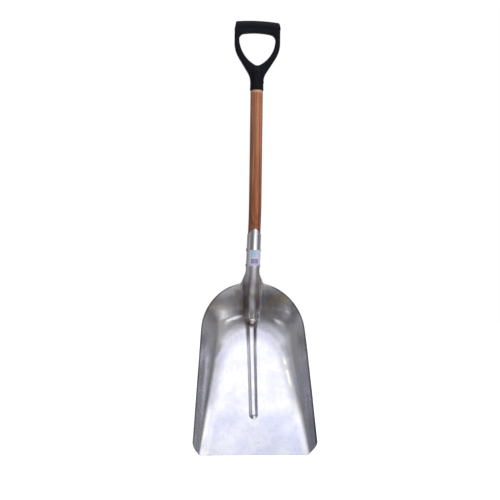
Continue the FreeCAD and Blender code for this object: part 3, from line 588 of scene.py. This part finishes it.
def painted_sheet_shade(graph, place, fold, rim, uneven_height, mottled_shade):
    """Where shade is painted into the blade's colour, as pairs of a share and a tint. Each darkens the sheet
    where its reflection should look dimmer: the top of the bowl, the lower floor, round the hump's nose, the
    neck and the crest, the neck's corners, beside the hump, along the folds, beside the rib, the hump's foot,
    the flanks' rim and the cut edge.

    fold is how far a place lies inside the flanks' folds and rim how far inside the rim, all in metres.
    """
    parts = graph.node("SeparateXYZ", {"Vector": place})
    side, height = parts.outputs["X"], parts.outputs["Z"]
    off_middle = graph.math("ABSOLUTE", side)
    bowl_top = graph.all_of(graph.band(uneven_height, 0.365, 0.410, 0.420, 0.450),
                            graph.step(off_middle, 0.004, 0.014, 0.35, 1.0))
    from_fold = graph.math("ADD", fold, graph.step(side, -0.001, 0.001, -0.010, 0.0))
    low_floor = graph.all_of(graph.step(uneven_height, 0.125, 0.090), graph.step(from_fold, 0.004, 0.018))
    across_and_up = graph.stretched(place, 1.0, 0.0, 1.0)
    from_nose = graph.distance(across_and_up, (0.0, 0.0, 0.349))
    neck = graph.all_of(graph.band(height, 0.425, 0.460, 0.500, 0.530), graph.step(off_middle, 0.030, 0.024))
    crest = graph.all_of(graph.band(height, 0.395, 0.430, 0.460, 0.500), graph.step(off_middle, 0.014, 0.009))
    left_of_hump = graph.band(side, -0.042, -0.024, -0.012, -0.007)
    right_of_hump = graph.band(side, 0.002, 0.008, 0.0175, 0.0205)
    beside_hump = graph.all_of(graph.band(height, 0.338, 0.372, 0.450, 0.475),
                               graph.math("MAXIMUM", left_of_hump, right_of_hump))
    bowl_edge = graph.all_of(graph.step(height, 0.200, 0.260), graph.band(fold, -0.030, -0.010, 0.0, 0.030))
    beside_fold = graph.all_of(graph.band(height, 0.090, 0.150, 0.220, 0.280),
                               graph.step(fold, 0.026, -0.006), graph.step(fold, -0.022, -0.010))
    rib_side = graph.all_of(graph.band(side, 0.001, 0.0045, 0.009, 0.0125),
                            graph.band(height, 0.100, 0.130, 0.325, 0.340))
    hump_foot = graph.all_of(graph.band(height, 0.280, 0.330, 0.350, 0.365),
                             graph.band(off_middle, 0.004, 0.008, 0.0135, 0.0195))
    right_or_high = graph.math("MAXIMUM", graph.step(side, -0.01, 0.01), graph.step(height, 0.170, 0.210))
    flank_rim = graph.all_of(graph.step(rim, 0.028, 0.012), graph.step(height, 0.335, 0.300), right_or_high)
    # Every pair below is painted shade: a darker tint standing in for a dimmer reflection, not dirt on the
    # sheet.
    return [
        (bowl_top, mottled_shade),
        (low_floor, colour(0.85, 0.87, 0.94)),
        (graph.step(from_nose, 0.015, 0.007), colour(0.34, 0.29, 0.29)),
        (neck, colour(0.74, 0.72, 0.72)),
        (crest, colour(0.66, 0.64, 0.64)),
        (neck_corners(graph, height, off_middle), colour(0.80, 0.79, 0.77)),
        (beside_hump, colour(0.54, 0.49, 0.47)),
        (bowl_edge, colour(0.74, 0.74, 0.78)),
        (beside_fold, colour(0.60, 0.60, 0.63)),
        (rib_side, colour(0.60, 0.60, 0.61)),
        (hump_foot, colour(0.50, 0.49, 0.49)),
        (flank_rim, colour(0.70, 0.70, 0.72)),
        (graph.step(rim, 0.0045, 0.0015), colour(0.40, 0.38, 0.37)),
    ]


def neck_corners(graph, height, off_middle):
    """The two gathered corners beside the neck."""
    return graph.all_of(graph.step(height, 0.440, 0.450), graph.step(off_middle, 0.022, 0.026))


def painted_fold_gleams(graph, side, height, fold):
    """Painted highlights: where the folds shine yellow, on the right, and white, on the left, reflections are
    painted into the colour.
    """
    along_fold = graph.band(fold, -0.005, -0.001, 0.002, 0.008)
    gap_middle = 0.229
    from_gap = graph.math("ABSOLUTE", graph.math("SUBTRACT", height, gap_middle))
    right = graph.all_of(graph.band(height, 0.168, 0.192, 0.245, 0.265),
                         graph.step(from_gap, 0.003, 0.012, 0.25, 0.85), graph.step(side, 0.0, 0.001))
    left = graph.all_of(graph.band(height, 0.020, 0.050, 0.090, 0.125), graph.step(side, 0.0, -0.001))
    return [
        (graph.all_of(along_fold, right), colour(1.0, 0.975, 0.72)),
        (graph.all_of(along_fold, left), colour(1.0, 0.99, 0.90)),
    ]


def sheet_roughness(graph, height, off_middle, smudge, drawn):
    """Satin sheet, dull where it was gathered round hump and neck, and ironed smooth at the back's knee."""
    clean = graph.math("ADD", graph.step(smudge, 0.3, 0.75, 0.20, 0.26),
                       graph.step(drawn, 0.3, 0.8, 0.0, 0.05))
    dulled = graph.all_of(graph.band(height, 0.372, 0.420, 0.500, 0.530),
                          graph.step(off_middle, 0.030, 0.024))
    dulled = graph.math("MAXIMUM", dulled, neck_corners(graph, height, off_middle))
    ironed = graph.all_of(graph.band(height, 0.345, 0.355, 0.380, 0.392),
                          graph.step(off_middle, 0.014, 0.020))
    duller = graph.math("ADD", clean, graph.all_of(dulled, 0.22))
    return graph.math("SUBTRACT", duller, graph.all_of(ironed, 0.12))


def aluminium():
    """Bright sheet, dulled where it was worked hardest, darkened and browned by painted shade round the hump,
    neck, folds, rib and rim, with painted highlights along the folds, and with smudges and scratches.
    """
    material, graph, place = new_material("bright_aluminium")
    parts = graph.node("SeparateXYZ", {"Vector": place})
    side, height = parts.outputs["X"], parts.outputs["Z"]
    off_middle = graph.math("ABSOLUTE", side)
    rim = graph.node("Attribute", attribute_name="rim_distance").outputs["Fac"]
    fold = graph.node("Attribute", attribute_name="fold_distance").outputs["Fac"]
    up_the_floor = (-FLOOR_TILT, 0.0, 0.0)
    smudge = graph.noise(place, 14.0, detail=5.0, roughness=0.6, distortion=0.6)
    stain = graph.noise(place, 30.0, detail=5.0, roughness=0.65)
    drawn = graph.noise(graph.stretched(place, 700.0, 700.0, 14.0, turn=up_the_floor), 1.0, detail=3.0)
    streak = graph.noise(graph.stretched(place, 150.0, 150.0, 7.0, turn=up_the_floor), 1.0, detail=3.0)
    scratch = graph.noise(graph.stretched(place, 1.0, 1.0, 0.09, turn=(0.0, 0.35, 0.0)), 520.0, detail=2.0)

    base = graph.blend(graph.step(smudge, 0.35, 0.65), colour(0.955, 0.945, 0.925), colour(0.86, 0.875, 0.95))
    base = graph.blend(graph.step(stain, 0.56, 0.72, 0.0, 0.45), base, colour(0.78, 0.74, 0.72))
    base = graph.blend(graph.step(streak, 0.50, 0.68, 0.0, 0.40), base, colour(0.80, 0.80, 0.87))
    # Painted shade: a mottled grey-to-brown darkening for the band at the top of the bowl's back wall.
    mottled_shade = graph.blend(graph.step(stain, 0.42, 0.60), colour(0.50, 0.49, 0.50),
                             colour(0.62, 0.54, 0.44))
    uneven_height = graph.math("ADD", height, graph.step(smudge, 0.3, 0.7, -0.010, 0.010))
    for share, tint in painted_sheet_shade(graph, place, fold, rim, uneven_height, mottled_shade):
        base = graph.blend(share, base, tint, kind="MULTIPLY")
    for share, gleam in painted_fold_gleams(graph, side, height, fold):
        base = graph.blend(share, base, gleam)

    normal = graph.bump(graph.noise(place, 22.0, detail=2.0), 0.0012, 0.35)
    normal = graph.bump(drawn, 0.00004, 0.6, under=normal)
    normal = graph.bump(graph.step(scratch, 0.70, 0.74), 0.00003, 0.5, under=normal)
    finish_material(graph, Base_Color=base, Metallic=1.0, Normal=normal,
                    Roughness=sheet_roughness(graph, height, off_middle, smudge, drawn))
    return material


def lacquered_wood():
    """Red-brown stained hardwood under clear lacquer, darker near the socket, bare just under the grip."""
    material, graph, place = new_material("lacquered_wood")
    height = graph.node("SeparateXYZ", {"Vector": place}).outputs["Z"]
    streak_place = graph.stretched(place, 170.0, 170.0, 5.0)
    streak = graph.noise(streak_place, 1.0, detail=4.0, roughness=0.6, distortion=0.4)
    fine = graph.noise(graph.stretched(place, 900.0, 900.0, 22.0), 1.0, detail=3.0, roughness=0.6)
    cloud = graph.noise(graph.stretched(place, 22.0, 22.0, 9.0), 1.0, detail=3.0)
    paler = graph.step(height, 0.62, 0.95)
    light = graph.blend(paler, colour(0.300, 0.098, 0.038), colour(0.400, 0.165, 0.075))
    dark = graph.blend(paler, colour(0.120, 0.034, 0.013), colour(0.205, 0.070, 0.030))
    base = graph.blend(graph.step(streak, 0.34, 0.66), dark, light)
    base = graph.blend(graph.step(fine, 0.50, 0.75, 0.0, 0.5), base, colour(0.075, 0.022, 0.010))
    base = graph.blend(graph.step(cloud, 0.45, 0.8, 0.0, 0.35), base, colour(0.34, 0.16, 0.085))
    shoulder = SHOULDER_HEIGHT * MM
    bare = graph.step(height, shoulder - 0.009, shoulder - 0.004, 0.0, 0.8)
    base = graph.blend(bare, base, colour(0.46, 0.27, 0.16))
    roughness = graph.step(streak, 0.3, 0.7, 0.30, 0.42)
    normal = graph.bump(fine, 0.00025, 0.35)
    finish_material(graph, Base_Color=base, Roughness=roughness, Normal=normal,
                    Coat_Weight=0.45, Coat_Roughness=0.22)
    return material


def black_plastic():
    """Spark-eroded black plastic: a faint blue cast, a fine matt texture and rubbed spots."""
    material, graph, place = new_material("black_plastic")
    cloud = graph.noise(place, 30.0, detail=4.0, roughness=0.6)
    grain = graph.noise(place, 2600.0, detail=2.0)
    base = graph.blend(cloud, colour(0.0025, 0.0030, 0.0058), colour(0.0045, 0.0050, 0.0085))
    roughness = graph.step(cloud, 0.3, 0.7, 0.42, 0.55)
    normal = graph.bump(grain, 0.00012, 0.5)
    finish_material(graph, Base_Color=base, Roughness=roughness, Normal=normal, Specular_IOR_Level=0.17)
    return material


def dull_metal(name, light, dark):
    """A small fastener's metal: dull, with dirt in its low spots."""
    material, graph, place = new_material(name)
    cloud = graph.noise(place, 420.0, detail=4.0, roughness=0.65)
    base = graph.blend(graph.step(cloud, 0.35, 0.65), colour(*dark), colour(*light))
    roughness = graph.step(cloud, 0.3, 0.7, 0.5, 0.33)
    normal = graph.bump(cloud, 0.0002, 0.4)
    finish_material(graph, Base_Color=base, Metallic=1.0, Roughness=roughness, Normal=normal)
    return material


def printed_film():
    """Pale film with a plain blue patch and a plain dark block, and no lettering."""
    material, graph, place = new_material("label_film")
    parts = graph.node("SeparateXYZ", {"Vector": place})
    x, height = parts.outputs["X"], parts.outputs["Z"]

    def patch(left, right, low, high, soft=0.0006):
        """A printed rectangle with soft edges, in metres."""
        return graph.all_of(graph.band(x, left - soft, left + soft, right - soft, right + soft),
                            graph.band(height, low - soft, low + soft, high - soft, high + soft))

    mottle = graph.noise(place, 900.0, detail=3.0)
    base = graph.blend(graph.step(mottle, 0.35, 0.7), colour(0.50, 0.48, 0.60), colour(0.58, 0.56, 0.68))
    specks = graph.step(graph.noise(place, 330.0, detail=1.0), 0.47, 0.55, 0.0, 0.85)
    top_margin = patch(-0.011, 0.017, 0.5525, 0.5580)
    low_margin = patch(-0.011, 0.017, 0.5105, 0.5150)
    margins = graph.math("MAXIMUM", top_margin, low_margin)
    base = graph.blend(graph.all_of(margins, specks), base, colour(0.24, 0.24, 0.36))
    base = graph.blend(patch(-0.008, 0.007, 0.536, 0.5525, soft=0.0016), base, colour(0.34, 0.50, 0.64))
    faint_specks = graph.step(specks, 0.3, 0.7, 0.0, 0.35)
    base = graph.blend(graph.all_of(patch(-0.008, 0.015, 0.534, 0.5525), faint_specks), base,
                       colour(0.16, 0.30, 0.42))
    base = graph.blend(patch(-0.0075, 0.0125, 0.517, 0.530), base, colour(0.19, 0.18, 0.28))
    bars = graph.step(graph.math("SINE", graph.math("MULTIPLY", x, 1500.0)), 0.0, 0.6, 0.0, 0.55)
    base = graph.blend(graph.all_of(patch(-0.0055, 0.0105, 0.519, 0.528), bars), base,
                       colour(0.44, 0.42, 0.55))
    normal = graph.bump(mottle, 0.0001, 0.3)
    finish_material(graph, Base_Color=base, Roughness=0.32, Normal=normal, Specular_IOR_Level=0.5)
    return material


# ------------------------------------------------------------------ studio: surroundings, floor and camera

def reflected_patches():
    """What the room's soft lights look like from the tool. A later one covers an earlier one.

    Each is (azimuth from, to, elevation from, to, azimuth softness, elevation softness, strength, tint), in
    degrees. Azimuth 0 is straight ahead of the hollow side and grows towards +X.
    """
    white = (1.0, 0.99, 1.04)
    lavender = (0.97, 0.97, 1.06)
    return [
        # above and ahead, seen in the floor, its folds and the knee behind it
        (-50, 66, 28.5, 80, 50, 4, 1.72, white),
        (-50, 22, 25, 28.5, 30, 3, 0.86, lavender),
        (20, 66, 25, 28.5, 14, 3, 1.55, white),
        (-50, 50, 32.5, 80, 30, 3, 1.12, lavender),
        (-22, 26, 5, 22, 14, 6, 0.24, lavender),
        (-42, -2, 14, 26, 16, 10, 0.74, lavender),
        (-72, -40, 8, 24, 16, 10, 0.50, lavender),
        (16, 50, 20.5, 24.5, 12, 3, 1.60, white),
        # level and low, seen in the back wall, its streaks and the socket
        (-42, -22, -3, 2, 10, 4, 0.90, white),
        (0, 58, -62, -22, 46, 8, 1.75, white),
        (26, 56, -22, 25, 12, 12, 0.34, white),
        (16, 36, -2, 2.5, 10, 3, 1.05, white),
        (35, 62, -8.5, -5.5, 8, 3, 0.80, white),
        # on both sides, seen in the socket's edges and the flanks
        (-155, -76, -62, -16, 20, 16, 0.95, white),
        (102, 180, -62, -16, 20, 16, 0.42, white),
        (72, 140, -10, 55, 20, 14, 0.26, white),
        (-140, -60, -10, 55, 20, 14, 0.22, white),
        # behind the tool
        (150, 210, -60, 90, 30, 20, 0.60, white),
        (-210, -150, -60, 90, 30, 20, 0.60, white),
    ]


def make_world():
    """The room that the metal reflects. The camera sees plain white instead."""
    world = bpy.data.worlds.new("studio")
    bpy.context.scene.world = world
    world.use_nodes = True
    graph = Graph(world.node_tree)
    direction = graph.node("TexCoord").outputs["Generated"]
    parts = graph.node("SeparateXYZ", {"Vector": direction})
    x, y, z = (parts.outputs[axis] for axis in "XYZ")
    degrees = 180 / math.pi
    azimuth = graph.math("MULTIPLY", graph.math("ARCTAN2", x, graph.math("MULTIPLY", y, -1.0)), degrees)
    elevation = graph.math("MULTIPLY", graph.math("ARCSINE", z), degrees)
    low = graph.step(elevation, -60.0, 10.0)
    room = graph.blend(low, colour(0.20, 0.18, 0.165), colour(0.15, 0.145, 0.15))
    room = graph.blend(graph.step(elevation, 40.0, 85.0), room, colour(0.75, 0.75, 0.78))
    for left, right, bottom, top, soft_across, soft_up, strength, tint in reflected_patches():
        across, up = soft_across / 2, soft_up / 2
        share = graph.all_of(
            graph.band(azimuth, left - across, left + across, right - across, right + across),
            graph.band(elevation, bottom - up, bottom + up, top - up, top + up))
        room = graph.blend(share, room, colour(*(strength * part for part in tint)))
    seen = graph.node("LightPath").outputs["Is Camera Ray"]
    shown = graph.blend(seen, room, colour(1.0, 1.0, 1.0))
    background = graph.node("Background", {"Color": shown, "Strength": 1.0})
    output = graph.node("OutputWorld")
    graph.tree.links.new(background.outputs[0], output.inputs["Surface"])


def make_lamp(name, place, aim, size, power):
    """A broad soft lamp that lights the wood, the plastic and the film without showing in the metal."""
    data = bpy.data.lights.new(name, "AREA")
    data.shape = "DISK"
    data.size = size
    data.energy = power
    lamp = bpy.data.objects.new(name, data)
    lamp.location = place
    lamp.rotation_euler = (Vector(aim) - Vector(place)).to_track_quat("-Z", "Y").to_euler()
    lamp.visible_glossy = False
    lamp.visible_camera = False
    bpy.context.scene.collection.objects.link(lamp)


def make_floor():
    """A pale floor that shows a soft shadow where the lip stands, and fades into the backdrop."""
    material, graph, _ = new_material("pale_floor")
    matt = graph.node("BsdfDiffuse", {"Color": colour(0.8, 0.8, 0.8)})
    glow = graph.node("Emission", {"Color": colour(1.0, 1.0, 1.0), "Strength": 0.72})
    both = graph.node("AddShader")
    graph.tree.links.new(matt.outputs[0], both.inputs[0])
    graph.tree.links.new(glow.outputs[0], both.inputs[1])
    output = graph.node("OutputMaterial")
    graph.tree.links.new(both.outputs[0], output.inputs["Surface"])
    mesh = bpy.data.meshes.new("floor")
    reach, gap = 12.0, 0.0007
    level = CAD_BOX[0][2] - gap
    corners = [(x * reach, y * reach, level) for x, y in ((-1, -1), (1, -1), (1, 1), (-1, 1))]
    mesh.from_pydata(corners, [], [(0, 1, 2, 3)])
    mesh.materials.append(material)
    floor = bpy.data.objects.new("floor", mesh)
    bpy.context.scene.collection.objects.link(floor)
    floor.visible_glossy = False
    floor.visible_diffuse = False


def make_camera():
    """A camera a little left of the tool's front, level with its middle."""
    azimuth, elevation, roll = math.radians(-6.40), math.radians(-2.96), math.radians(0.763)
    distance = 2.5
    target = Vector((0.0, 0.0077, 0.5539))
    towards = Vector((math.sin(azimuth) * math.cos(elevation),
                      -math.cos(azimuth) * math.cos(elevation),
                      math.sin(elevation)))
    right = (-towards).cross(Vector((0, 0, 1))).normalized()
    up = right.cross(-towards)
    tilted_right = right * math.cos(roll) + up * math.sin(roll)
    tilted_up = up * math.cos(roll) - right * math.sin(roll)
    turned = Matrix((tilted_right, tilted_up, towards)).transposed().to_4x4()
    data = bpy.data.cameras.new("camera")
    data.sensor_width = 36.0
    data.lens = 64.76
    data.shift_x = -0.00928
    camera = bpy.data.objects.new("camera", data)
    camera.matrix_world = Matrix.Translation(target + towards * distance) @ turned
    bpy.context.scene.collection.objects.link(camera)
    bpy.context.scene.camera = camera


# ------------------------------------------------------------------ putting it together

def dress(node, material):
    """Give a CAD node that is shown as it is its material."""
    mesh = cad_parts[node].data
    mesh.shade_smooth()
    mesh.materials.clear()
    mesh.materials.append(material)


def stand_for(piece, node):
    """Show a piece in place of a CAD node, on the part's one body."""
    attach(piece, "root")
    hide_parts(node)


def main():
    stand_for(make_blade(aluminium()), "scoop_blade")
    stand_for(make_shaft(lacquered_wood()), "shaft")
    stand_for(make_grip(black_plastic()), "d_grip")
    stand_for(make_label(printed_film()), "product_label")
    rivet = dull_metal("dull_rivet", (0.30, 0.29, 0.29), (0.10, 0.095, 0.09))
    dress("upper_socket_rivet", rivet)
    dress("lower_socket_rivet", rivet)
    dress("grip_screw", dull_metal("dark_screw", (0.12, 0.12, 0.12), (0.04, 0.04, 0.04)))
    make_world()
    make_lamp("front_lamp", place=(0.9, -2.6, 1.5), aim=(0.0, 0.0, 0.75), size=1.4, power=60.0)
    make_floor()
    make_camera()
    bpy.context.scene.view_settings.view_transform = "Standard"


main()
